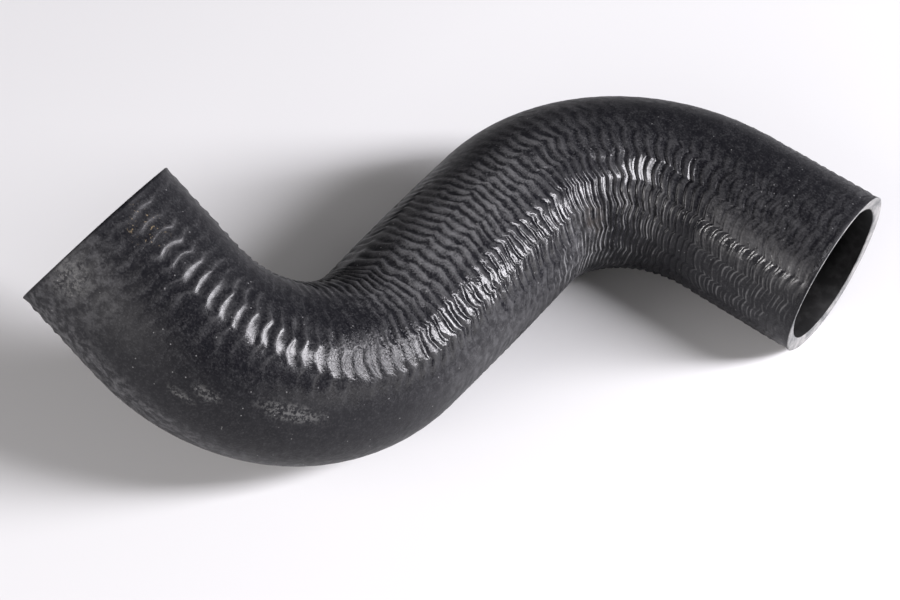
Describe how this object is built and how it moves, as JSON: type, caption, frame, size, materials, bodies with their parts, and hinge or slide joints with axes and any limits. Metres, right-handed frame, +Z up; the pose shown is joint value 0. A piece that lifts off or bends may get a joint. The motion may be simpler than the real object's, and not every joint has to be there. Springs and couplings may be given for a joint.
{
  "type": "charge air hose",
  "caption": "Moulded rubber charge air hose with two right-angle bends, open at both cut ends, its knitted reinforcement showing as scalloped ribs.",
  "frame": {"origin": "on the surface that the hose lies on, under the middle of its bounding box", "axes": "+Z up, +X out of the end of the flat leg, +Y along the middle leg from the raised bend to the flat bend"},
  "size_m": [0.1918, 0.242, 0.0954],
  "materials": {
    "rubber": "satin"
  },
  "bodies": {
    "root": {"hose": "rubber"}
  },
  "joints": []
}
